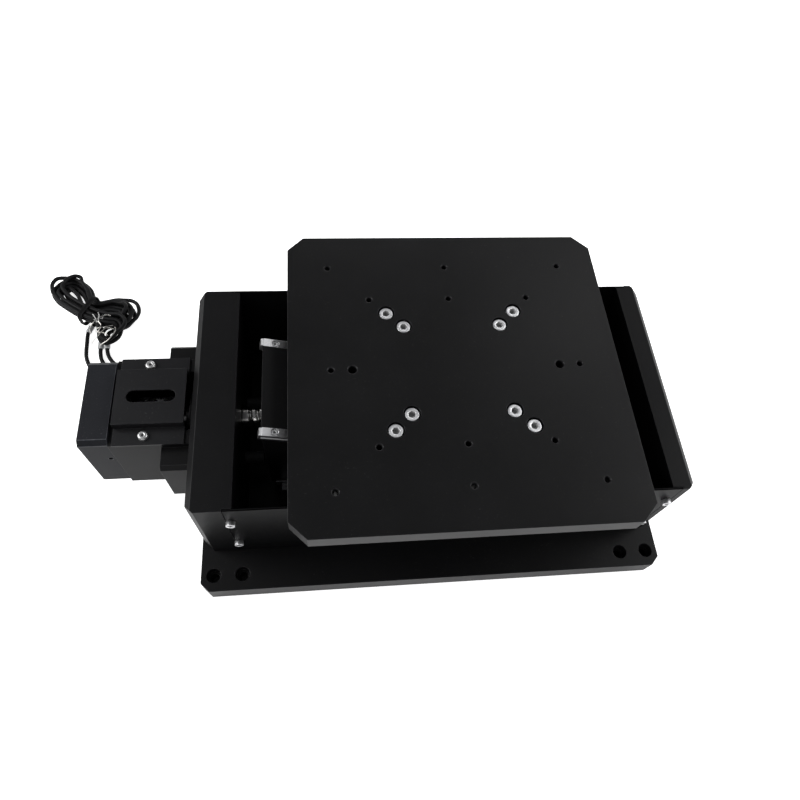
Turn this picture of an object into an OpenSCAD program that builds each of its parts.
// Vertical translation stage driven by a wedge. A stepper motor turns a ball screw along X, the screw
// draws a wedge block along crossed-roller rails, and the wedge lifts the table straight up.
// X runs from the motor to the far end, Z is the lift. The origin is the centre of the base's underside.

/* [Base plate] */
// Length of the base plate
base_l = 302; // [300:1:330]
// Width of the base plate
base_w = 202; // [190:1:230]
// Thickness of the base plate
base_t = 15; // [12:0.5:20]
// Size of the base plate's corner chamfers
base_corner = 5.5; // [2:0.5:9]
// Spacing along X of the inner mounting holes
mount_inner_x = 250; // [240:1:256]
// Spacing along X of the outer mounting holes
mount_outer_x = 286; // [276:1:288]
// Spacing along Y of the mounting holes
mount_y = 182; // [170:1:184]
// Diameter of a mounting hole, for an M5 screw
mount_hole_d = 5.5; // [5.2:0.1:6.4]
// Diameter of a mounting hole's counterbore
mount_bore_d = 9; // [8.8:0.1:11]
// Depth of a mounting hole's counterbore
mount_bore_depth = 6; // [5:0.5:9]

/* [Body] */
// Length of the body, over both end plates
body_l = 297; // [292:1:299]
// Width of the body
body_w = 150; // [150:1:166]
// Height of the body above the base plate
body_h = 75; // [75:1:78]
// Thickness of the end plate that carries the motor and the screw's bearings
motor_plate_t = 26; // [25:0.5:30]
// Thickness of the far end plate
far_plate_t = 15; // [12:0.5:18]
// Chamfer on the upright outer corners of the end plates
plate_corner = 5; // [2:0.5:7]
// Chamfer on the top outer edge of the end plates
plate_top_chamfer = 3.5; // [1:0.5:5]
// Thickness of the side covers
cover_t = 1.5; // [1:0.1:2]
// Overlap of a side cover on the motor end plate
cover_lap_motor = 5.5; // [5:0.25:8]
// Overlap of a side cover on the far end plate
cover_lap_far = 6; // [5.5:0.25:8]
// Height between the upper and lower screws of a side cover
cover_screw_gap = 38; // [30:1:50]

/* [Table] */
// Length and width of the table
table_size = 200; // [180:1:210]
// Thickness of the table
table_t = 12; // [10:0.5:14]
// Corner chamfers of the table
table_corner = 10; // [4:0.5:14]
// Offset along X of the table's centre from the base's centre
table_offset = 9.5; // [6:0.5:12]
// Gap between the body's top and the table's underside, as drawn
table_gap = 10; // [8:0.5:12]
// Pitch of the outer grid of tapped holes
grid_pitch = 75; // [70:1:80]
// Half spacing of the inner grid of tapped holes
inner_grid = 50; // [46:1:56]
// Distance of the two larger holes from the table's centre
centre_hole_x = 62.5; // [58:0.5:66]
// Core diameter of the M4 tapped holes
tap_d = 3.3; // [3:0.1:4]
// Core diameter of the two M6 tapped holes
big_tap_d = 5; // [4.6:0.1:6]
// Diameter of the counterbores for the table's screws
table_bore_d = 10; // [9.2:0.1:11]
// Depth of the counterbores for the table's screws
table_bore_depth = 6; // [5.5:0.1:7]

/* [Wedge drive] */
// Angle of the wedge
slope = 16; // [15:0.5:17]
// Distance from the motor end plate to the wedge, as drawn
wedge_gap = 16; // [14:0.5:17]
// Distance from the table's underside down to the top of the wedge rails' upper end
rail_drop = 3.2; // [3:0.1:5]
// Gap between the base plate and the wedge's underside
wedge_lift = 2; // [1.5:0.1:3]
// Height of the screw's axis above the base plate
axis_h = 40; // [39:0.5:41]
// Diameter of the ball screw
screw_d = 12; // [11:0.5:13]
// Lead of the ball screw
lead = 5; // [4:0.5:6]
// Travel of the wedge from the drawn position towards the motor
travel_in = 3.5; // [3:0.1:4]
// Travel of the wedge from the drawn position towards the far end
travel_out = 66; // [60:1:66]

/* [Crossed-roller rails] */
// Width of a rail bar
bar_w = 5.5; // [5.2:0.1:6]
// Height of a rail bar
bar_h = 6; // [5.6:0.1:6.4]
// Gap between a pair of rail bars
rail_gap = 1; // [0.9:0.05:1.2]
// Diameter of a roller
roller_d = 1.9; // [1.7:0.05:1.94]
// Pitch of the rail bars' screws
bar_pitch = 15; // [14.5:0.1:15.5]
// Distance from the centre plane to the inner side of the wedge's rail bars
rail_y = 27.75; // [27:0.25:28.5]

/* [Motor and coupling] */
// Width and height of the motor
motor_w = 57; // [56:0.5:58]
// Length of the motor
motor_l = 17; // [16:0.5:20]
// Spacing of the motor's screws
motor_screw_gap = 46; // [45:0.5:46]
// Length of the motor bracket
bracket_l = 47.5; // [46:0.5:50]
// Width of the motor bracket's channel
channel_w = 40; // [39:0.5:41]
// Width of the bracket over its ears
ears_w = 86; // [84:1:90]
// Length of the bracket's ears along X
ears_l = 18; // [16:0.5:20]
// Height of the bracket's ears
ears_h = 43; // [40:1:46]
// Outer diameter of the coupling
coupling_d = 30; // [26:0.5:31]
// Width of the cover's raised part
hat_w = 37; // [34:0.5:38]
// Height of the cover's raised part above the bracket
hat_h = 7; // [6:0.5:9]
// Length of the slot in the coupling cover
slot_l = 28.6; // [24:0.2:30]
// Width of the slot in the coupling cover
slot_w = 8; // [6:0.2:9]

/* [Hidden] */

$fn = 48;
eps = 0.01;
// Radial clearance of turned fits and of screws in their holes
slip = 0.03;
screw_slip = 0.05;

// Levels
base_top = base_t;
body_top = base_top + body_h;
table_bottom = body_top + table_gap;
table_top = table_bottom + table_t;
rail_top = table_bottom - rail_drop;
axis_z = base_top + axis_h;

// Places along X
body_x0 = -body_l / 2;
body_x1 = body_l / 2;
motor_plate_in = body_x0 + motor_plate_t;
far_plate_in = body_x1 - far_plate_t;
wedge_x0 = motor_plate_in + wedge_gap;
bar_x0 = wedge_x0 + 0.5;
table_x = table_offset;
cover_x0 = motor_plate_in - cover_lap_motor;
cover_x1 = far_plate_in + cover_lap_far;

// Rail bars: pairs lie side by side, the inner bar on the moving block
inner_y1 = rail_y + bar_w;
outer_y0 = inner_y1 + rail_gap;
outer_y1 = outer_y0 + bar_w;
gap_y = inner_y1 + rail_gap / 2;
groove = rail_gap / 2 * (2 * sqrt(2) - 1);
bar_hole_y = bar_w / 2 - 0.25;
flank_y = rail_y + bar_w - 0.5;
long_pitch = 2 * bar_pitch;
wedge_bar_n = 11;
wedge_bar_l = wedge_bar_n * bar_pitch;
lower_bar_n = 5;
lower_bar_l = lower_bar_n * long_pitch;
base_bar_n = 7;
base_bar_l = base_bar_n * long_pitch;
saddle_bar_n = 3;
saddle_bar_l = saddle_bar_n * long_pitch;
wedge_x1 = bar_x0 + wedge_bar_l * cos(slope) + 0.5;
lower_bar_x0 = wedge_x0 + 2.5;
lower_bar_z = base_top + 3.5;
base_bar_x0 = lower_bar_x0 + 4;
saddle_bar_s = (table_x - bar_x0) / cos(slope) - saddle_bar_l / 2;

// M2 screws of the rail bars
bar_screw_d = 2;
bar_head_d = 3.8;
bar_head_h = 2;
bar_screw_grip = 3;

// Saddle: a block under the table with a cheek plate on each side
saddle_l = 100;
saddle_x0 = table_x - saddle_l / 2;
saddle_x1 = table_x + saddle_l / 2;
channel_gap = 1;
slab_z = table_bottom - 16;
cheek_y1 = outer_y1 + 9.75;
cheek_z0 = base_top + 21;
pad = 0.5;
side_y0 = cheek_y1 + pad;
side_y1 = side_y0 + bar_h;
side_bar_n = 2;
side_half = 14.5;
side_in_x1 = side_half + bar_w;
side_out_x0 = side_in_x1 + rail_gap;
side_out_x1 = side_out_x0 + bar_w;
side_gap_x = side_in_x1 + rail_gap / 2;
side_bar_pitch = 22.5;
side_bar_l = side_bar_n * side_bar_pitch;
side_bar_z = cheek_z0 + 2;
upright_bar_pitch = 30;
upright_bar_l = side_bar_n * upright_bar_pitch;
upright_half = 32;
upright_y1 = body_w / 2 - cover_t - 1.5;
upright_z1 = body_top - 2;
upright_bar_z = upright_z1 - 1 - upright_bar_l;

// Screws that hold the table to the saddle block, and the cheek plates to it
table_screw_r = [30, 40];
table_screw_d = 5;
table_head_d = 8.5;
table_head_h = 5;
table_screw_hex = 4;
table_screw_grip = 10;
cheek_screw_d = 4;
cheek_head_d = 7;
cheek_screw_l = 13;

// Screws of the motor bracket, and the depth of tapped holes
bracket_screw_d = 5;
bracket_head_d = 8.5;
bracket_screw_z = 14;
bracket_screw_in = 7;
bracket_bore_depth = 5.5;
bracket_screw_grip = 12;
bracket_tap_depth = 13;
cap_tap_depth = 9;
cover_tap_depth = 9;
cheek_screw_x = 40;
cheek_screw_z = slab_z - 5;
cheek_screw_low_z = slab_z - 22;

// Roller cages: number of rollers, their pitch, and where each cage starts
roller_pitch = 10;
lower_roller_n = 10;
lower_cage_start = 44.5;
upper_roller_n = 5;
upper_cage_start = 78;
side_roller_n = 3;
side_roller_pitch = 9;
side_cage_z = base_top + 34;

// Guide blocks of the lower rails
guide_y1 = outer_y1 + 10.25;
guide_z1 = lower_bar_z + 7.5;
guide_screw_y = outer_y1 + 5.25;
guide_screw_n = 4;

// Screws from below the base: M5
under_d = 5;
under_head_d = 8.5;
under_head_h = 5;
under_depth = 5.5;
under_grip = 12;
plate_screw_y = [-60, -24, 24, 60];
upright_screw_x = 22;
upright_screw_y = (side_y1 + pad + upright_y1) / 2;

// Ball screw, its bearings and its nut
journal_d = 10;
bearing_d = 26;
bearing_w = 8;
race_r = 9;
ball_d = 4.76;
ball_groove_r = 2.45;
ball_n = 9;
bearing_x1 = body_x0 + 19;
bearing_x0 = bearing_x1 - 2 * bearing_w;
cap_flange_d = 38;
cap_flange_t = 4;
cap_bore_d = 20;
cap_screw_r = 15.5;
nut_d = 24;
nut_flange_d = 38;
nut_flange_t = 6;
nut_l = 36;
nut_screw_r = 15.5;
screw_end = wedge_x0 + travel_out + nut_l + 0.5;
wedge_bore_end = screw_end + travel_in + 4;
wedge_bore_d = screw_d + 2;
collar_d = 14;
thread_x0 = motor_plate_in + 3.5;
spindle_x0 = body_x0 - 8.5;
tail_d = 8;

// Motor group
motor_x1 = body_x0 - bracket_l;
motor_x0 = motor_x1 - motor_l;
motor_chamfer = 3;
motor_cavity_d = 46;
motor_wall = 4;
stator_d = 29;
stator_l = 8;
end_cap_t = 3.6;
pilot_d = 38;
pilot_h = 1.6;
motor_shaft_d = 8;
rear_journal_d = 5;
motor_screw_d = 4;
bracket_wall = 6;
bracket_w = 58;
bracket_z0 = axis_z - 28.5;
bracket_z1 = axis_z + 26;
channel_z0 = axis_z - channel_w / 2;
hub_l = 11;
spider_l = 5;
spider_x0 = motor_x1 + 21;
jaw_d = 13;
cover_sheet = 1.2;
hat_x0 = motor_x1 + 2.5;
hat_x1 = body_x0 - 4;
flange_half = 29.5;
slot_x = hat_x0 + 21;
cover_screw_x = (hat_x0 + hat_x1) / 2 - 2.9;
cover_screw_y = 24;

// Bumpers and limit sensors
bumper_d = 8;
bumper_y = 20;
bumper_z = base_top + 21;
bumper_clear = 0.4;
flag_t = 1;
flag_w = 6;
flag_h = 7.5;
flag_y1 = outer_y1 + 3;
sensor_w = 12;
sensor_h = 9;
sensor_y0 = outer_y1 - 1.5;
sensor_y1 = outer_y1 + 9.75;
sensor_slot_h = 3;
sensor_screw_x = 3.5;
sensor_in_x = wedge_x0 + 18.5;
sensor_out_x = base_bar_x0 + base_bar_l - 7;
flag_x = [sensor_in_x + 1.5, sensor_out_x - travel_out + 1.5];

// Cords: they lie on the surface that the stage stands on
cord_d = 3;
cord_exit_x = [-209, -204.2, -199.4];
cord_exit_z = 39;
gland_l = 6;
gland_d = 4.6;
left_route = [[-209, 28.7, 39], [-209, 35, 39], [-209.5, 39, 37.5], [-211, 43.5, 33],
    [-213.5, 48, 27], [-217, 52.5, 20.5], [-221.5, 56.5, 14.5], [-227, 60.5, 9.4], [-233, 64.5, 5.6],
    [-239, 69, 3.2], [-244, 74.5, 2.5], [-247, 81, 2.5], [-248.2, 88, 2.5], [-248.6, 95, 2.5],
    [-249, 103, 2.5], [-249.5, 112, 2.5]];
middle_route = [[-204.2, 28.7, 39], [-204.2, 35, 39], [-204.6, 39, 37.5], [-206, 43.5, 33],
    [-208.5, 48.5, 27], [-212, 53.5, 20.5], [-216.5, 58.5, 14.5], [-221.5, 63.5, 9.4],
    [-227, 68.5, 5.6], [-232, 73.5, 3.2], [-235.8, 79, 2.5], [-237.5, 85, 2.5], [-238, 91, 2.5],
    [-238.2, 97, 2.5], [-238.3, 103, 2.5], [-238.4, 109.2, 2.5]];
right_route = [[-199.4, 28.7, 39], [-199.4, 35, 39], [-199.8, 39, 37.5], [-201.2, 44, 33],
    [-203.7, 49.5, 27], [-207.2, 55, 20.5], [-211.6, 60.5, 14.5], [-216.8, 66, 9.4],
    [-222.4, 71.5, 5.6], [-227.6, 77, 3.2], [-231.2, 82.5, 2.5], [-232.9, 88, 2.5],
    [-233.4, 93, 2.5], [-233.6, 98, 2.5], [-233.8, 103, 2.5], [-233.9, 108.2, 2.5]];
left_tail = [[-229.6, 107.2, 2.2], [-229.2, 102.5, 2.2], [-228, 98, 2.2]];
middle_tail = [[-225, 107.6, 2.2], [-224, 103.5, 2.2], [-222, 100, 2.2]];
right_tail = [[-220.6, 108.9, 2.2], [-218.8, 106.4, 2.2], [-216, 104.6, 2.2]];
hank_left = [-268, 143];
hank_bend = [-248, 126.5];
hank_right = [-228, 122];
hank_half = 14.2;
waist_half = 11;
lobe_share = 0.3;
hank_z0 = 0.8;
hank_h = 14;
tie_w = 4;
tie_t = 0.6;
tie_room = 1.7;
marker_d = 4.8;
marker_bore = 3.4;
boot_d = 3.8;
boot_l = 6;
core_d = 1;
core_l = 8;

function rail_z(x) = rail_top - (x - bar_x0) * tan(slope);

// ---- helpers ----
module both_sides() {
    children();
    mirror([0, 1, 0]) children();
}

// A bar of section shape along X
module along_x(l) {
    rotate([90, 0, 90]) linear_extrude(l) children();
}

// A profile in the XZ plane, from y = -half to y = half
module across_y(half) {
    rotate([90, 0, 0]) linear_extrude(2 * half, center = true) children();
}

module rod_x(x0, x1, d) {
    translate([x0, 0, 0]) rotate([0, 90, 0]) cylinder(d = d, h = x1 - x0);
}

module ring_x(x0, x1, d_out, d_in) {
    difference() {
        rod_x(x0, x1, d_out);
        rod_x(x0 - 1, x1 + 1, d_in);
    }
}

// Block from one corner to the opposite one
module block(a, b) {
    translate(a) cube(b - a);
}

// Cap screw along Z with its head's underside at the origin, head up
module cap_screw(d, head_d, head_h, l, hex) {
    difference() {
        union() {
            cylinder(d = head_d, h = head_h);
            translate([0, 0, -l]) cylinder(d = d, h = l + eps);
        }
        translate([0, 0, head_h * 0.45]) cylinder(d = hex / cos(30), h = head_h, $fn = 6);
    }
}

// Hole for a cap screw, with a counterbore of the given depth above the origin
module cap_hole(d, head_d, l, depth) {
    cylinder(d = head_d, h = depth + 1);
    translate([0, 0, -l]) cylinder(d = d, h = l + 1);
}

module incline() {
    translate([bar_x0, 0, rail_top]) rotate([0, slope, 0]) children();
}

// Rail bar along X: back face at y = 0, groove in the face y = bar_w, screw heads on top
module rail_bar(n, pitch) {
    difference() {
        along_x(n * pitch) polygon([[0, 0], [bar_w, 0], [bar_w, bar_h / 2 - groove],
            [bar_w - groove, bar_h / 2], [bar_w, bar_h / 2 + groove], [bar_w, bar_h], [0, bar_h]]);
        for (i = [0 : n - 1])
            translate([(i + 0.5) * pitch, bar_hole_y, bar_h - bar_head_h - 0.3]) {
                cylinder(d = bar_head_d + 0.4, h = bar_head_h + 1);
                translate([0, 0, -bar_h]) cylinder(d = bar_screw_d + 0.4, h = bar_h + 1);
            }
    }
}

module rail_bar_screws(n, pitch) {
    for (i = [0 : n - 1])
        translate([(i + 0.5) * pitch, bar_hole_y, bar_h - bar_head_h - 0.3])
            cap_screw(bar_screw_d, bar_head_d, bar_head_h, bar_h - bar_head_h - 0.3 + bar_screw_grip, 1.5);
}

// Tapped holes under a rail bar's screws
module rail_bar_taps(n, pitch) {
    for (i = [0 : n - 1])
        translate([(i + 0.5) * pitch, bar_hole_y, -bar_screw_grip - 0.3])
            cylinder(d = bar_screw_d + 2 * screw_slip, h = bar_screw_grip + 1);
}

// Crossed rollers and their cage along X, centred on the gap between two bars
module roller_cage(n, pitch) {
    for (i = [0 : n - 1])
        translate([(i + 0.5) * pitch, 0, 0]) rotate([i % 2 == 0 ? 45 : -45, 0, 0])
            cylinder(d = roller_d, h = roller_d, center = true, $fn = 24);
    difference() {
        translate([0, -0.2, -2.1]) cube([n * pitch, 0.4, 4.2]);
        for (i = [0 : n - 1])
            translate([(i + 0.5) * pitch - roller_d / 2 - 0.1, -1, -1.6])
                cube([roller_d + 0.2, 2, 3.2]);
    }
}

// The four places of the upright rails: X becomes Z, Y becomes the outward X, Z becomes the outward Y
module at_side_rails() {
    both_sides() for (m = [0, 1])
        translate([table_x, 0, 0]) mirror([m, 0, 0]) children();
}

module stand_up() {
    rotate([0, -90, -90]) children();
}

// ---- base and body ----
module chamfered_plate(l, w, t, c) {
    linear_extrude(t) polygon([[-l / 2 + c, -w / 2], [l / 2 - c, -w / 2], [l / 2, -w / 2 + c],
        [l / 2, w / 2 - c], [l / 2 - c, w / 2], [-l / 2 + c, w / 2], [-l / 2, w / 2 - c],
        [-l / 2, -w / 2 + c]]);
}

// Places of the M5 screws that come up through the base, with children at the base's top
module at_base_screws() {
    for (x = [(body_x0 + motor_plate_in) / 2, (body_x1 + far_plate_in) / 2])
        for (y = plate_screw_y) translate([x, y, base_top]) children();
    for (x = [table_x - upright_screw_x, table_x + upright_screw_x])
        for (s = [-1, 1]) translate([x, s * upright_screw_y, base_top]) children();
}

module at_guide_screws() {
    for (i = [0 : guide_screw_n - 1])
        for (s = [-1, 1])
            translate([base_bar_x0 + (i + 0.5) * base_bar_l / guide_screw_n, s * guide_screw_y, 0])
                children();
}

module base_plate() {
    color([0.09, 0.09, 0.1]) difference() {
        chamfered_plate(base_l, base_w, base_t, base_corner);
        for (x = [-mount_outer_x / 2, -mount_inner_x / 2, mount_inner_x / 2, mount_outer_x / 2])
            for (s = [-1, 1]) translate([x, s * mount_y / 2, -1]) {
                cylinder(d = mount_hole_d, h = base_t + 2);
                translate([0, 0, base_t + 1 - mount_bore_depth])
                    cylinder(d = mount_bore_d, h = mount_bore_depth + 1);
            }
        at_base_screws() {
            translate([0, 0, -base_t - 1]) cylinder(d = under_head_d + 0.8, h = under_depth + 1);
            translate([0, 0, -base_t]) cylinder(d = under_d + 2 * screw_slip, h = base_t + 1);
        }
        at_guide_screws() translate([0, 0, base_top - 8.5]) cylinder(d = 4 + 2 * screw_slip, h = 9);
    }
}

// The screws that hold the body to the base plate: M5 from below, M4 through the guide blocks
module body_screws() {
    color([0.25, 0.25, 0.26]) {
        at_base_screws() translate([0, 0, under_depth - base_t]) mirror([0, 0, 1])
            cap_screw(under_d, under_head_d, under_head_h, base_t - under_depth + under_grip, 4);
        at_guide_screws() translate([0, 0, guide_z1 - 4.5])
            cap_screw(4, 7, 4, guide_z1 - 4.5 - base_top + 8, 3);
    }
}

// Rabbets and tapped holes for the side covers, for a plate that reaches from x0 to x1
module cover_seat(x0, x1) {
    both_sides() {
        block([x0, body_w / 2 - cover_t, base_top - 1], [x1, body_w / 2 + 1, body_top + 1]);
    }
}

// Places of the side covers' screws, pointing out from the front cover
module at_cover_screws() {
    mid_z = (base_top + body_top) / 2;
    for (x = [cover_x0 + cover_lap_motor / 2, cover_x1 - cover_lap_far / 2])
        for (z = [mid_z - cover_screw_gap / 2, mid_z + cover_screw_gap / 2])
            both_sides() translate([x, -body_w / 2, z]) rotate([90, 0, 0]) children();
}

module motor_end_plate() {
    color([0.08, 0.08, 0.09]) difference() {
        end_plate_solid(motor_plate_t, body_x0, 1);
        cover_seat(cover_x0, motor_plate_in + 1);
        at_cover_screws() translate([0, 0, -10.5]) cylinder(d = 3 + 2 * screw_slip, h = 11);
        at_base_screws() cylinder(d = under_d + 2 * screw_slip, h = under_grip + 1);
        translate([0, 0, axis_z]) {
            rod_x(body_x0 - 1, bearing_x1, bearing_d + 2 * slip);
            rod_x(body_x0 - 1, motor_plate_in + 1, cap_bore_d);
            at_cap_screws() translate([0, 0, -cap_tap_depth])
                cylinder(d = 3 + 2 * screw_slip, h = cap_tap_depth + 1);
        }
        at_bracket_screws() translate([0, 0, -bracket_tap_depth])
            cylinder(d = bracket_screw_d + 2 * screw_slip, h = bracket_tap_depth + 1);
        for (s = [-1, 1]) translate([0, s * bumper_y, bumper_z])
            rod_x(motor_plate_in - 5, motor_plate_in + 1, 4 + 2 * screw_slip);
    }
}

// End plate with chamfered outer corners; dir is 1 where its outer face looks to -X
module end_plate_solid(t, x_out, dir) {
    c = plate_corner;
    h = plate_top_chamfer;
    translate([x_out, 0, 0]) mirror([dir > 0 ? 0 : 1, 0, 0]) intersection() {
        translate([0, 0, base_top]) linear_extrude(body_h) polygon([[c, -body_w / 2],
            [t, -body_w / 2], [t, body_w / 2], [c, body_w / 2], [0, body_w / 2 - c],
            [0, -body_w / 2 + c]]);
        across_y(body_w) polygon([[0, base_top - 1], [t, base_top - 1], [t, body_top], [h, body_top],
            [0, body_top - h]]);
    }
}

module far_end_plate() {
    color([0.08, 0.08, 0.09]) difference() {
        end_plate_solid(far_plate_t, body_x1, -1);
        cover_seat(far_plate_in - 1, cover_x1);
        at_cover_screws() translate([0, 0, -10.5]) cylinder(d = 3 + 2 * screw_slip, h = 11);
        at_base_screws() cylinder(d = under_d + 2 * screw_slip, h = under_grip + 1);
        for (s = [-1, 1]) translate([0, s * bumper_y, bumper_z])
            rod_x(far_plate_in - 1, far_plate_in + 5, 4 + 2 * screw_slip);
    }
}

module side_cover() {
    difference() {
        block([cover_x0, -body_w / 2, base_top], [cover_x1, -body_w / 2 + cover_t, body_top]);
        at_cover_screws() translate([0, 0, -cover_t - 1]) cylinder(d = 3.4, h = cover_t + 2);
    }
}

module front_side_cover() {
    color([0.1, 0.1, 0.11]) side_cover();
}

module back_side_cover() {
    color([0.1, 0.1, 0.11]) mirror([0, 1, 0]) side_cover();
}

module side_cover_screws() {
    color([0.75, 0.75, 0.76]) at_cover_screws() cap_screw(3, 5.5, 3, 8 + cover_t, 2.5);
}

// ---- lower guide ----
module guide_blocks() {
    color([0.12, 0.12, 0.13]) difference() {
        both_sides() difference() {
            translate([base_bar_x0, 0, 0]) along_x(base_bar_l) polygon([[outer_y0, base_top],
                [guide_y1, base_top], [guide_y1, guide_z1], [outer_y1, guide_z1],
                [outer_y1, lower_bar_z], [outer_y0, lower_bar_z]]);
            at_base_rail() rail_bar_taps(base_bar_n, long_pitch);
        }
        at_guide_screws() translate([0, 0, guide_z1 - 4.5]) cap_hole(4 + 2 * screw_slip, 7.6, 12, 4.5);
        at_sensors() sensor_taps();
    }
}

module at_base_rail() {
    translate([base_bar_x0, outer_y1, lower_bar_z]) mirror([0, 1, 0]) children();
}

module base_rails() {
    color([0.7, 0.7, 0.7]) both_sides() at_base_rail() rail_bar(base_bar_n, long_pitch);
}

module fixed_rail_screws() {
    color([0.3, 0.3, 0.31]) {
        both_sides() at_base_rail() rail_bar_screws(base_bar_n, long_pitch);
        at_side_rails() at_upright_rail() rail_bar_screws(side_bar_n, upright_bar_pitch);
        at_sensors() sensor_screws();
    }
}

// ---- uprights, which keep the saddle square ----
module at_upright_rail() {
    translate([side_out_x1, side_y1, upright_bar_z]) rotate([0, 0, 180]) stand_up() children();
}

module uprights() {
    y0 = side_y1 + pad;
    color([0.12, 0.12, 0.13]) difference() {
        both_sides() difference() {
            union() {
                block([table_x - upright_half, y0, base_top],
                    [table_x + upright_half, upright_y1, upright_z1]);
                for (m = [0, 1]) translate([table_x, 0, 0]) mirror([m, 0, 0])
                    block([side_out_x0 - 0.5, side_y1, upright_bar_z - 0.5],
                        [side_out_x1 + 0.5, y0 + eps, upright_z1]);
            }
            at_base_screws() cylinder(d = under_d + 2 * screw_slip, h = under_grip + 1);
        }
        at_side_rails() at_upright_rail() rail_bar_taps(side_bar_n, upright_bar_pitch);
    }
}

module upright_rails() {
    color([0.7, 0.7, 0.7]) at_side_rails() at_upright_rail() rail_bar(side_bar_n, upright_bar_pitch);
}

// ---- screw bearings ----
module ball_race(x) {
    translate([x, 0, 0]) rotate([0, 90, 0]) rotate_extrude() translate([race_r, 0])
        circle(r = ball_groove_r);
}

module at_axis() {
    translate([0, 0, axis_z]) children();
}

bearing_mid = [bearing_x0 + bearing_w / 2, bearing_x0 + 1.5 * bearing_w];

module bearing_outer_rings() {
    color([0.72, 0.72, 0.73]) at_axis() for (x = bearing_mid) difference() {
        ring_x(x - bearing_w / 2, x + bearing_w / 2, bearing_d, 2 * race_r + 3.2);
        ball_race(x);
    }
}

module bearing_inner_rings() {
    color([0.72, 0.72, 0.73]) at_axis() for (x = bearing_mid) difference() {
        ring_x(x - bearing_w / 2, x + bearing_w / 2, 2 * race_r - 3.2, journal_d + 2 * slip);
        ball_race(x);
    }
}

module bearing_balls() {
    color([0.8, 0.8, 0.8]) at_axis() for (x = bearing_mid) for (i = [0 : ball_n - 1])
        rotate([i * 360 / ball_n, 0, 0]) translate([x, 0, race_r]) sphere(d = ball_d);
}

// Four screws round the axis, pointing to -X from the outer face of the motor end plate
module at_cap_screws() {
    for (a = [45, 135, 225, 315]) rotate([a, 0, 0]) translate([body_x0, 0, cap_screw_r])
        rotate([0, -90, 0]) children();
}

module bearing_cap() {
    color([0.35, 0.35, 0.36]) at_axis() difference() {
        union() {
            rod_x(body_x0 - cap_flange_t, body_x0, cap_flange_d);
            rod_x(body_x0 - eps, bearing_x0, bearing_d);
        }
        rod_x(body_x0 - cap_flange_t - 1, bearing_x0 + 1, cap_bore_d);
        at_cap_screws() cylinder(d = 3.3, h = cap_flange_t + 1);
        at_cap_screws() translate([0, 0, cap_flange_t - 3.2]) cylinder(d = 6, h = 4);
    }
}

module bearing_cap_screws() {
    color([0.3, 0.3, 0.31]) at_axis() at_cap_screws() translate([0, 0, cap_flange_t - 3.2])
        cap_screw(3, 5.5, 3, 8, 2.5);
}

// ---- motor bracket and coupling cover ----
module at_bracket_screws() {
    for (s = [-1, 1]) for (dz = [-bracket_screw_z, bracket_screw_z])
        translate([body_x0, s * (ears_w / 2 - bracket_screw_in), axis_z + dz]) rotate([0, -90, 0]) children();
}

module at_motor_screws() {
    for (s = [-1, 1]) for (dz = [-1, 1])
        translate([motor_x1, s * motor_screw_gap / 2, axis_z + dz * motor_screw_gap / 2])
            rotate([0, -90, 0]) children();
}

module at_cover_hold_screws() {
    for (s = [-1, 1]) translate([cover_screw_x, s * cover_screw_y, bracket_z1]) children();
}

module motor_bracket() {
    color([0.09, 0.09, 0.1]) difference() {
        union() {
            block([motor_x1, -bracket_w / 2, bracket_z0], [body_x0, bracket_w / 2, bracket_z1]);
            ears();
        }
        block([motor_x1 + bracket_wall, -channel_w / 2, channel_z0],
            [body_x0 + 1, channel_w / 2, bracket_z1 + 1]);
        at_axis() rod_x(motor_x1 - 1, motor_x1 + pilot_h + 0.2, pilot_d + 2 * slip);
        at_axis() rod_x(motor_x1 - 1, motor_x1 + bracket_wall + 1, pilot_d - 6);
        at_bracket_screws() cylinder(d = bracket_screw_d + 0.4, h = ears_l + 1);
        at_bracket_screws() translate([0, 0, ears_l - bracket_bore_depth])
            cylinder(d = bracket_head_d + 0.7, h = bracket_bore_depth + 1.5);
        at_motor_screws() translate([0, 0, -bracket_wall - 1])
            cylinder(d = motor_screw_d + 2 * screw_slip, h = bracket_wall + 2);
        at_cover_hold_screws() translate([0, 0, -cover_tap_depth])
            cylinder(d = 3 + 2 * screw_slip, h = cover_tap_depth + 1);
    }
}

module ears() {
    r = 2.5;
    h = ears_h / 2;
    w = ears_w / 2;
    translate([body_x0 - ears_l, 0, axis_z]) along_x(ears_l) polygon([[-w + r, -h], [w - r, -h],
        [w, -h + r], [w, h - r], [w - r, h], [-w + r, h], [-w, h - r], [-w, -h + r]]);
}

module bracket_screws() {
    color([0.3, 0.3, 0.31]) at_bracket_screws() translate([0, 0, ears_l - bracket_bore_depth])
        cap_screw(bracket_screw_d, bracket_head_d, bracket_screw_d, ears_l - bracket_bore_depth + bracket_screw_grip,
            4);
}

module coupling_cover() {
    h = hat_w / 2;
    t = cover_sheet;
    color([0.1, 0.1, 0.11]) difference() {
        translate([hat_x0, 0, bracket_z1]) along_x(hat_x1 - hat_x0) polygon([[-flange_half, 0],
            [-h + t, 0], [-h + t, hat_h - t], [h - t, hat_h - t], [h - t, 0], [flange_half, 0],
            [flange_half, t], [h, t], [h, hat_h], [-h, hat_h], [-h, t], [-flange_half, t]]);
        for (s = [-1, 1]) translate([slot_x + s * (slot_l - slot_w) / 2, 0, bracket_z1])
            cylinder(d = slot_w, h = hat_h + 1);
        block([slot_x - (slot_l - slot_w) / 2, -slot_w / 2, bracket_z1],
            [slot_x + (slot_l - slot_w) / 2, slot_w / 2, bracket_z1 + hat_h + 1]);
        at_cover_hold_screws() translate([0, 0, -1]) cylinder(d = 3.3, h = 4);
    }
}

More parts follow.
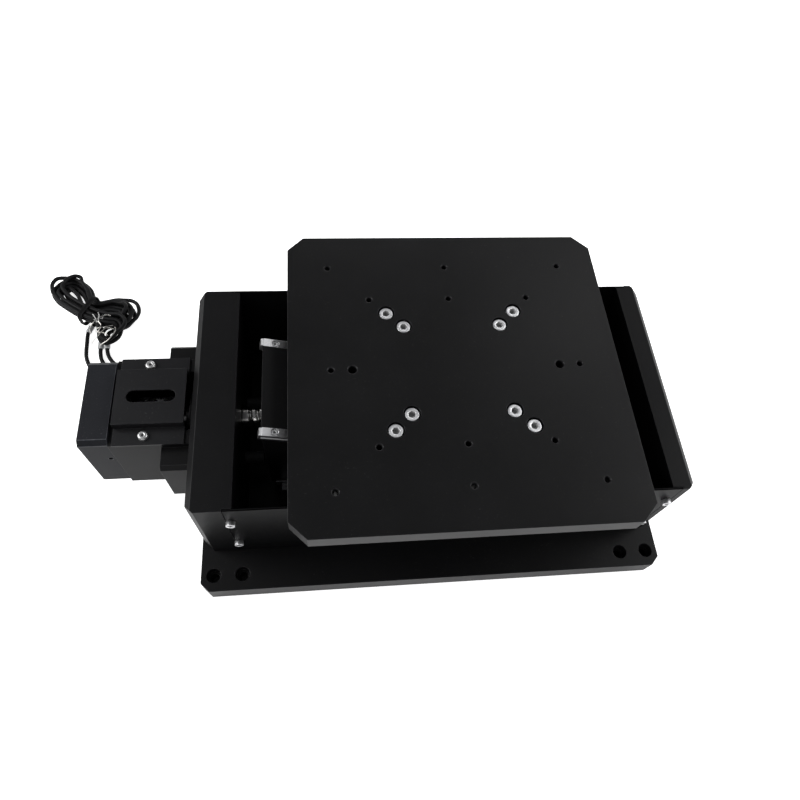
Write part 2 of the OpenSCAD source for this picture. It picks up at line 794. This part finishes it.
module coupling_cover_screws() {
    color([0.78, 0.78, 0.79]) at_cover_hold_screws() translate([0, 0, cover_sheet])
        cap_screw(3, 6, 2.4, 8 + cover_sheet, 2);
}

// ---- motor ----
module chamfered_square(w, c) {
    h = w / 2;
    polygon([[-h + c, -h], [h - c, -h], [h, -h + c], [h, h - c], [h - c, h], [-h + c, h],
        [-h, h - c], [-h, -h + c]]);
}

module motor_housing() {
    color([0.1, 0.11, 0.14]) at_axis() difference() {
        translate([motor_x0, 0, 0]) along_x(motor_l) chamfered_square(motor_w, motor_chamfer);
        rod_x(motor_x0 + motor_wall, motor_x1 + 1, motor_cavity_d);
        rod_x(motor_x0 + 1, motor_x1, 12 + 2 * slip);
        translate([0, 0, -axis_z]) at_motor_screws() {
            translate([0, 0, -1]) cylinder(d = motor_screw_d + 0.4, h = motor_l + 2);
            translate([0, 0, motor_l - 4.5]) cylinder(d = 7.4, h = 5);
        }
        translate([motor_x1 - 3.2, -motor_w / 2 - 1, 7]) rotate([-90, 0, 0]) cylinder(d = 2.6, h = 4);
        for (x = cord_exit_x) translate([x, motor_w / 2 - 8, cord_exit_z - axis_z])
            rotate([-90, 0, 0]) cylinder(d = gland_d + 2 * slip, h = 9);
    }
}

module motor_end_cap() {
    color([0.3, 0.3, 0.32]) at_axis() difference() {
        union() {
            rod_x(motor_x1 - end_cap_t, motor_x1, motor_cavity_d - 2 * slip);
            rod_x(motor_x1 - eps, motor_x1 + pilot_h, pilot_d);
        }
        rod_x(motor_x1 - end_cap_t - 1, motor_x1 + 0.4, 16 + 2 * slip);
        rod_x(motor_x1 - 1, motor_x1 + pilot_h + 1, 12);
    }
}

module motor_stator() {
    x0 = motor_x0 + motor_wall + 0.5;
    color([0.4, 0.4, 0.42]) at_axis() ring_x(x0, x0 + stator_l, motor_cavity_d - 2 * slip, stator_d);
}

module motor_bearings() {
    color([0.72, 0.72, 0.73]) at_axis() {
        ring_x(motor_x0 + 1, motor_x0 + motor_wall, 12, rear_journal_d + 2 * slip);
        ring_x(motor_x1 - end_cap_t, motor_x1 + 0.4, 16, motor_shaft_d + 2 * slip);
    }
}

module motor_rotor() {
    x0 = motor_x0 + motor_wall + 0.7;
    color([0.55, 0.55, 0.57]) at_axis() {
        rod_x(x0, x0 + stator_l - 0.4, stator_d - 0.4);
        rod_x(motor_x0 + 1.4, x0 + 1, rear_journal_d);
        rod_x(x0 + 1, spider_x0 - 0.5, motor_shaft_d);
    }
}

module motor_screws() {
    color([0.3, 0.3, 0.31]) at_motor_screws() translate([0, 0, motor_l - 4.5])
        cap_screw(motor_screw_d, 7, 4, motor_l - 4.5 + bracket_wall - 0.5, 3);
}

// ---- coupling ----
module jaw_ring(a0, a1, x0, x1, d_in) {
    at_axis() rotate([a0, 0, 0]) translate([x0, 0, 0]) rotate([90, 0, 90])
        linear_extrude(x1 - x0) intersection() {
            difference() {
                circle(d = coupling_d - 1);
                circle(d = d_in);
            }
            polygon([[0, 0], [30, 0], [30 * cos((a1 - a0) / 2), 30 * sin((a1 - a0) / 2)],
                [30 * cos(a1 - a0), 30 * sin(a1 - a0)]]);
        }
}

module coupling_hubs() {
    color([0.78, 0.79, 0.8]) {
        difference() {
            at_axis() ring_x(spider_x0 - hub_l, spider_x0, coupling_d, motor_shaft_d + 2 * slip);
            hub_clamp(spider_x0 - hub_l);
        }
        difference() {
            at_axis() ring_x(spider_x0 + spider_l, spider_x0 + spider_l + hub_l, coupling_d,
                tail_d + 2 * slip);
            hub_clamp(spider_x0 + spider_l);
        }
        for (a = [0, 120, 240]) {
            jaw_ring(a, a + 48, spider_x0 - eps, spider_x0 + spider_l - 0.3, jaw_d);
            jaw_ring(a + 60, a + 108, spider_x0 + 0.3, spider_x0 + spider_l + eps, jaw_d);
        }
    }
}

// Clamping screws of the hubs, across the slits, with their heads towards the back
module at_hub_screws() {
    for (x = [spider_x0 - hub_l / 2, spider_x0 + spider_l + hub_l / 2])
        translate([x, coupling_d / 2 - 11, axis_z + coupling_d / 2 - 4.8]) rotate([-90, 0, 0])
            children();
}

// Slit, screw hole and head pocket of a clamping hub
module hub_clamp(x0) {
    translate([x0 - 1, -0.5, axis_z]) cube([hub_l + 2, 1, coupling_d]);
    at_hub_screws() cap_hole(3 + 2 * screw_slip, 5.8, 12.5, 11);
}

module coupling_screws() {
    color([0.3, 0.3, 0.31]) at_hub_screws() cap_screw(3, 5.5, 3, 12, 2.5);
}

// Six lobes between the jaws, joined by a ring
module coupling_spider() {
    x0 = spider_x0 + 0.3;
    x1 = spider_x0 + spider_l - 0.3;
    color([0.75, 0.12, 0.1]) {
        for (a = [0 : 60 : 300]) jaw_ring(a - 12 + 0.8, a - 0.8, x0, x1, jaw_d - 2);
        at_axis() ring_x(x0, x1, jaw_d - 0.4, jaw_d - 4);
    }
}

// ---- bumpers and limit sensors ----
module stop_bumpers() {
    out_end = wedge_x0 - travel_in - bumper_clear;
    far_end = wedge_x1 + travel_out + bumper_clear;
    color([0.3, 0.3, 0.3]) for (s = [-1, 1]) translate([0, s * bumper_y, bumper_z]) {
        rod_x(motor_plate_in - 4, motor_plate_in + eps, 4);
        rod_x(motor_plate_in, out_end, bumper_d);
        rod_x(far_plate_in - eps, far_plate_in + 4, 4);
        rod_x(far_end, far_plate_in, bumper_d);
    }
}

// The sensors sit on the back guide block, where the flags are at the two ends of the travel
module at_sensors() {
    for (x = [sensor_in_x, sensor_out_x]) translate([x, 0, guide_z1]) children();
}

module limit_sensors() {
    color([0.06, 0.06, 0.07]) at_sensors() difference() {
        block([-sensor_w / 2, sensor_y0, 0], [sensor_w / 2, sensor_y1, sensor_h]);
        block([-sensor_w, sensor_y0 - 1, (sensor_h - sensor_slot_h) / 2],
            [sensor_w, sensor_y1 - 5, (sensor_h + sensor_slot_h) / 2]);
        for (s = [-1, 1]) translate([s * sensor_screw_x, sensor_y1 - 2.6, -1])
            cylinder(d = 2.4, h = sensor_h + 2);
    }
}

module sensor_taps() {
    for (s = [-1, 1]) translate([s * sensor_screw_x, sensor_y1 - 2.6, -4])
        cylinder(d = 2 + 2 * screw_slip, h = 5);
}

module sensor_screws() {
    for (s = [-1, 1]) translate([s * sensor_screw_x, sensor_y1 - 2.6, sensor_h])
        cap_screw(2, 3.8, 2, sensor_h + 3.5, 1.5);
}

module sensor_flags() {
    z0 = guide_z1 + sensor_h / 2 - flag_t / 2;
    color([0.6, 0.6, 0.62]) for (x = flag_x) translate([x, flank_y, z0]) difference() {
        union() {
            block([-flag_w / 2, 0, 0], [flag_w / 2, flag_y1 - flank_y, flag_t]);
            block([-flag_w / 2, 0, 0], [flag_w / 2, flag_t, flag_h]);
        }
        translate([0, -1, flag_h - 3]) rotate([-90, 0, 0]) cylinder(d = 2.3, h = flag_t + 2);
    }
}

// ---- wedge ----
module wedge_profile(drop, z0) {
    polygon([[wedge_x0, z0], [wedge_x1, z0], [wedge_x1, rail_z(wedge_x1) - drop],
        [wedge_x0, rail_z(wedge_x0) - drop]]);
}

module at_wedge_lower_rail() {
    translate([lower_bar_x0, rail_y, lower_bar_z + bar_h]) mirror([0, 0, 1]) children();
}

module at_nut_screws() {
    for (a = [0 : 90 : 270]) rotate([a + 45, 0, 0]) translate([wedge_x0, 0, nut_screw_r])
        rotate([0, -90, 0]) children();
}

module wedge_block() {
    z0 = base_top + wedge_lift;
    color([0.07, 0.07, 0.08]) difference() {
        union() {
            across_y(rail_y) wedge_profile(0, z0);
            across_y(flank_y) wedge_profile(bar_h / cos(slope), lower_bar_z + bar_h);
        }
        at_axis() {
            rod_x(wedge_x0 - 1, wedge_x0 + nut_flange_t, nut_flange_d + 2 * slip);
            rod_x(wedge_x0 - 1, wedge_x0 + nut_l, nut_d + 2 * slip);
            rod_x(wedge_x0 - 1, wedge_bore_end, wedge_bore_d);
            at_nut_screws() translate([0, 0, -nut_flange_t - 8])
                cylinder(d = 3 + 2 * screw_slip, h = 9);
        }
        both_sides() {
            incline() translate([0, rail_y, -bar_h]) rail_bar_taps(wedge_bar_n, bar_pitch);
            at_wedge_lower_rail() rail_bar_taps(lower_bar_n, long_pitch);
        }
        at_flag_screws() translate([0, 0, -5]) cylinder(d = 2 + 2 * screw_slip, h = 6);
    }
}

// Screws of the sensor flags, pointing out from the wedge's back flank
module at_flag_screws() {
    for (x = flag_x) translate([x, flank_y, guide_z1 + (sensor_h - flag_t) / 2 + flag_h - 3])
        rotate([-90, 0, 0]) children();
}

module ball_nut() {
    color([0.6, 0.6, 0.61]) at_axis() difference() {
        union() {
            rod_x(wedge_x0, wedge_x0 + nut_flange_t, nut_flange_d);
            rod_x(wedge_x0 + nut_flange_t - eps, wedge_x0 + nut_l, nut_d);
        }
        rod_x(wedge_x0 - 1, wedge_x0 + nut_l + 1, screw_d + 2 * slip);
        at_nut_screws() translate([0, 0, -nut_flange_t - 1]) cylinder(d = 3.2, h = nut_flange_t + 2);
        at_nut_screws() translate([0, 0, -3.2]) cylinder(d = 5.7, h = 4);
    }
}

module ball_nut_screws() {
    color([0.3, 0.3, 0.31]) at_axis() at_nut_screws() translate([0, 0, -3.2])
        cap_screw(3, 5.5, 3, nut_flange_t - 3.2 + 6, 2.5);
}

module wedge_upper_rails() {
    color([0.78, 0.78, 0.79]) both_sides() incline() translate([0, rail_y, -bar_h])
        rail_bar(wedge_bar_n, bar_pitch);
}

module wedge_lower_rails() {
    color([0.7, 0.7, 0.7]) both_sides() at_wedge_lower_rail() rail_bar(lower_bar_n, long_pitch);
}

module wedge_rail_screws() {
    color([0.3, 0.3, 0.31]) both_sides() {
        incline() translate([0, rail_y, -bar_h]) rail_bar_screws(wedge_bar_n, bar_pitch);
        at_wedge_lower_rail() rail_bar_screws(lower_bar_n, long_pitch);
    }
    color([0.3, 0.3, 0.31]) at_flag_screws() translate([0, 0, flag_t]) cap_screw(2, 3.8, 2, 4.5, 1.5);
}

// Small plates that keep the roller cages between the rail bars
module rail_end_stops() {
    color([0.7, 0.7, 0.72]) both_sides() incline() for (x = [-1.5, wedge_bar_l])
        block([x, rail_y + 0.3, -bar_h + 0.3], [x + 1.5, rail_y + bar_w - 0.2, -0.3]);
}

// ---- table and saddle ----
module at_table_screws() {
    for (sx = [-1, 1]) for (sy = [-1, 1]) for (r = table_screw_r)
        translate([table_x + sx * r, sy * r, 0]) children();
}

module table_hole(x, y, d) {
    translate([table_x + x, y, table_bottom - 1]) cylinder(d = d, h = table_t + 2);
    translate([table_x + x, y, table_top - 0.5]) cylinder(d1 = d, d2 = d + 1.2, h = 0.6);
}

module table_plate() {
    color([0.1, 0.1, 0.11]) difference() {
        translate([table_x, 0, table_bottom])
            chamfered_plate(table_size, table_size, table_t, table_corner);
        for (x = [-1, 0, 1]) for (y = [-1, 0, 1])
            if (x != 0 || y != 0) table_hole(x * grid_pitch, y * grid_pitch, tap_d);
        for (x = [-1, 0, 1]) for (y = [-1, 1]) table_hole(x * inner_grid, y * inner_grid, tap_d);
        for (s = [-1, 1]) table_hole(s * centre_hole_x, 0, big_tap_d);
        at_table_screws() translate([0, 0, table_top - table_bore_depth])
            cap_hole(table_screw_d + 0.5, table_bore_d, table_t, table_bore_depth);
    }
}

module table_screws() {
    color([0.85, 0.85, 0.86]) at_table_screws() translate([0, 0, table_top - table_bore_depth])
        cap_screw(table_screw_d, table_head_d, table_head_h, table_t - table_bore_depth + table_screw_grip,
            table_screw_hex);
}

module saddle_block() {
    color([0.12, 0.12, 0.13]) difference() {
        union() {
            across_y(outer_y1) polygon([[saddle_x0, rail_z(saddle_x0)], [saddle_x1, rail_z(saddle_x1)],
                [saddle_x1, table_bottom], [saddle_x0, table_bottom]]);
            block([saddle_x0, -cheek_y1, slab_z], [saddle_x1, cheek_y1, table_bottom]);
        }
        across_y(gap_y) polygon([[saddle_x0 - 1, 0], [saddle_x1 + 1, 0],
            [saddle_x1 + 1, rail_z(saddle_x1 + 1) + channel_gap],
            [saddle_x0 - 1, rail_z(saddle_x0 - 1) + channel_gap]]);
        at_table_screws() translate([0, 0, table_bottom - table_screw_grip - 0.5])
            cylinder(d = table_screw_d + 2 * screw_slip, h = table_screw_grip + 1);
        at_cheek_screws() translate([0, 0, -cheek_screw_l - 1])
            cylinder(d = cheek_screw_d + 2 * screw_slip, h = cheek_screw_l + 2);
        both_sides() at_saddle_rail() rail_bar_taps(saddle_bar_n, long_pitch);
    }
}

module at_saddle_rail() {
    incline() translate([saddle_bar_s, outer_y1, 0]) rotate([180, 0, 0]) children();
}

// Screws that hold a cheek plate to the block, pointing out from the cheek's face
module at_cheek_screws() {
    both_sides() for (p = [[-cheek_screw_x, cheek_screw_z], [cheek_screw_x, cheek_screw_z],
        [cheek_screw_x, cheek_screw_low_z]])
        translate([table_x + p[0], cheek_y1 - 4.5, p[1]]) rotate([-90, 0, 0]) children();
}

module at_side_rail() {
    translate([side_half, side_y0, side_bar_z]) stand_up() children();
}

module saddle_cheeks() {
    color([0.12, 0.12, 0.13]) difference() {
        both_sides() {
            block([saddle_x0, outer_y1, cheek_z0], [saddle_x1, cheek_y1, slab_z]);
            block([table_x - side_in_x1 - 0.5, cheek_y1 - eps, cheek_z0],
                [table_x + side_in_x1 + 0.5, side_y0, slab_z]);
        }
        at_cheek_screws() cap_hole(cheek_screw_d + 0.3, cheek_head_d + 0.6, 8, 6);
        at_side_rails() at_side_rail() rail_bar_taps(side_bar_n, side_bar_pitch);
    }
}

module saddle_screws() {
    color([0.3, 0.3, 0.31]) at_cheek_screws() cap_screw(cheek_screw_d, cheek_head_d, cheek_screw_d, cheek_screw_l, 3);
}

module saddle_rails() {
    color([0.7, 0.7, 0.7]) both_sides() at_saddle_rail() rail_bar(saddle_bar_n, long_pitch);
}

module saddle_side_rails() {
    color([0.7, 0.7, 0.7]) at_side_rails() at_side_rail() rail_bar(side_bar_n, side_bar_pitch);
}

module saddle_rail_screws() {
    color([0.3, 0.3, 0.31]) {
        both_sides() at_saddle_rail() rail_bar_screws(saddle_bar_n, long_pitch);
        at_side_rails() at_side_rail() rail_bar_screws(side_bar_n, side_bar_pitch);
    }
}

// ---- turning parts ----
module ball_screw() {
    n = floor((screw_end - thread_x0 - 2) / (lead / 2));
    color([0.75, 0.75, 0.76]) at_axis() difference() {
        union() {
            rod_x(bearing_x1 + 4, screw_end, screw_d);
            rod_x(bearing_x1, bearing_x1 + 4.5, collar_d);
            rod_x(spindle_x0, bearing_x1 + eps, journal_d);
            rod_x(spider_x0 + spider_l + 0.5, spindle_x0 + eps, tail_d);
        }
        for (i = [0 : floor(n / 2)]) translate([thread_x0 + i * lead, 0, 0]) rotate([0, 90, 0])
            rotate_extrude() translate([screw_d / 2 + 0.3, 0]) circle(r = 1.5, $fn = 24);
    }
}

module lock_nut() {
    color([0.6, 0.6, 0.61]) at_axis() {
        ring_x(spindle_x0 + 0.5, spindle_x0 + 6.5, 18, journal_d + 2 * slip);
        ring_x(spindle_x0 + 6.5, bearing_x0, 13.5, journal_d + 2 * slip);
    }
}

// ---- roller cages ----
module lower_cages() {
    color([0.75, 0.6, 0.3]) both_sides()
        translate([wedge_x0 + lower_cage_start, gap_y, lower_bar_z + bar_h / 2])
            roller_cage(lower_roller_n, roller_pitch);
}

module wedge_cages() {
    color([0.75, 0.6, 0.3]) both_sides() incline()
        translate([upper_cage_start, gap_y, -bar_h / 2]) roller_cage(upper_roller_n, roller_pitch);
}

module side_cages() {
    color([0.75, 0.6, 0.3]) at_side_rails()
        translate([side_gap_x, side_y0 + bar_h / 2, side_cage_z]) stand_up()
            roller_cage(side_roller_n, side_roller_pitch);
}

// ---- cords ----
function unit(v) = v / norm(v);
function heading(a) = [cos(a), sin(a)];
function route_dir(p, i) = unit(p[min(i + 1, len(p) - 1)] - p[max(i - 1, 0)]);
function ring(p, i, sides, d) =
    let (t = route_dir(p, i), a = unit(cross(t, abs(t[2]) < 0.9 ? [0, 0, 1] : [1, 0, 0])), b = cross(t, a))
    [for (k = [0 : sides - 1]) p[i] + d / 2 * (a * cos(360 * k / sides) + b * sin(360 * k / sides))];

module cord(p, d) {
    sides = 8;
    n = len(p);
    polyhedron([for (i = [0 : n - 1]) each ring(p, i, sides, d)],
        concat([[for (k = [0 : sides - 1]) k]],
            [for (i = [0 : n - 2]) for (k = [0 : sides - 1]) let (j = (k + 1) % sides)
                [i * sides + k, i * sides + sides + k, i * sides + sides + j, i * sides + j]],
            [[for (k = [0 : sides - 1]) n * sides - 1 - k]]));
}

module cable_glands() {
    color([0.1, 0.1, 0.1]) for (x = cord_exit_x)
        translate([x, motor_w / 2, cord_exit_z]) rotate([-90, 0, 0]) difference() {
            union() {
                translate([0, 0, -4]) cylinder(d = gland_d, h = 4 + eps);
                cylinder(d1 = gland_d, d2 = gland_d - 0.4, h = gland_l);
            }
            translate([0, 0, 0.1]) cylinder(d = cord_d + 0.3, h = gland_l);
        }
}

module left_cord() {
    color([0.05, 0.05, 0.05]) {
        cord(left_route, cord_d);
        cord(left_tail, cord_d);
    }
}

module middle_cord() {
    color([0.05, 0.05, 0.05]) {
        cord(middle_route, cord_d);
        cord(middle_tail, cord_d);
    }
}

module right_cord() {
    color([0.05, 0.05, 0.05]) {
        cord(right_route, cord_d);
        cord(right_tail, cord_d);
    }
}

// Two lobes of wound cord with a narrower waist between them
module cord_hank() {
    turn_l = hank_bend - hank_left;
    turn_r = hank_right - hank_bend;
    angle_l = atan2(turn_l[1], turn_l[0]);
    angle_r = atan2(turn_r[1], turn_r[0]);
    angle_w = (angle_l + angle_r) / 2;
    lobe_l = hank_left + lobe_share * turn_l;
    lobe_r = hank_right - lobe_share * turn_r;
    color([0.06, 0.06, 0.06]) translate([0, 0, hank_z0]) linear_extrude(hank_h) polygon(concat(
        [for (a = [90 : 10 : 270]) hank_left + hank_half * heading(angle_l + a)],
        [lobe_l + hank_half * heading(angle_l - 90), hank_bend + waist_half * heading(angle_w - 90),
            lobe_r + hank_half * heading(angle_r - 90)],
        [for (a = [-90 : 10 : 90]) hank_right + hank_half * heading(angle_r + a)],
        [lobe_r + hank_half * heading(angle_r + 90), hank_bend + waist_half * heading(angle_w + 90),
            lobe_l + hank_half * heading(angle_l + 90)]));
}

// Light sleeves on the cords and the tie round the hank's waist
module cord_bands() {
    color([0.8, 0.8, 0.8]) {
        sleeve(left_route[13], left_route[14]);
        sleeve(middle_route[12], middle_route[13]);
        sleeve(right_route[13], right_route[14]);
    }
    color([0.05, 0.05, 0.05]) hank_tie();
}

module sleeve(a, b) {
    d = b - a;
    translate(a) rotate([0, 0, atan2(d[1], d[0])]) rotate([0, 90, 0]) difference() {
        cylinder(d = marker_d, h = norm(d));
        translate([0, 0, -1]) cylinder(d = marker_bore, h = norm(d) + 2);
    }
}

module hank_tie() {
    d = hank_right - hank_left;
    in_y = waist_half + tie_room;
    in_z0 = hank_z0 - 0.1;
    in_z1 = hank_z0 + hank_h + 0.1;
    translate(hank_bend) rotate(atan2(d[1], d[0])) difference() {
        block([-tie_w / 2, -in_y - tie_t, in_z0 - tie_t], [tie_w / 2, in_y + tie_t, in_z1 + tie_t]);
        block([-tie_w, -in_y, in_z0], [tie_w, in_y, in_z1]);
    }
}

// Each cord ends in a short boot with two bare cores
module cord_ends() {
    color([0.7, 0.7, 0.7]) for (t = [left_tail, middle_tail, right_tail]) {
        d = t[2] - t[1];
        translate(t[2]) rotate([0, 0, atan2(d[1], d[0])]) rotate([0, 90, 0]) {
            cylinder(d = boot_d, h = boot_l);
            for (y = [-1, 1]) translate([0, y, boot_l - eps]) cylinder(d = core_d, h = core_l);
        }
    }
}

base_plate();
motor_end_plate();
far_end_plate();
front_side_cover();
back_side_cover();
side_cover_screws();
body_screws();
guide_blocks();
base_rails();
fixed_rail_screws();
uprights();
upright_rails();
bearing_outer_rings();
bearing_cap();
bearing_cap_screws();
motor_bracket();
bracket_screws();
coupling_cover();
coupling_cover_screws();
motor_housing();
motor_end_cap();
motor_stator();
motor_bearings();
motor_screws();
stop_bumpers();
limit_sensors();
cable_glands();
left_cord();
middle_cord();
right_cord();
cord_hank();
cord_bands();
cord_ends();
wedge_block();
ball_nut();
ball_nut_screws();
wedge_lower_rails();
wedge_upper_rails();
wedge_rail_screws();
rail_end_stops();
sensor_flags();
table_plate();
table_screws();
saddle_block();
saddle_cheeks();
saddle_screws();
saddle_rails();
saddle_side_rails();
saddle_rail_screws();
ball_screw();
bearing_inner_rings();
bearing_balls();
lock_nut();
coupling_hubs();
coupling_screws();
coupling_spider();
motor_rotor();
lower_cages();
wedge_cages();
side_cages();
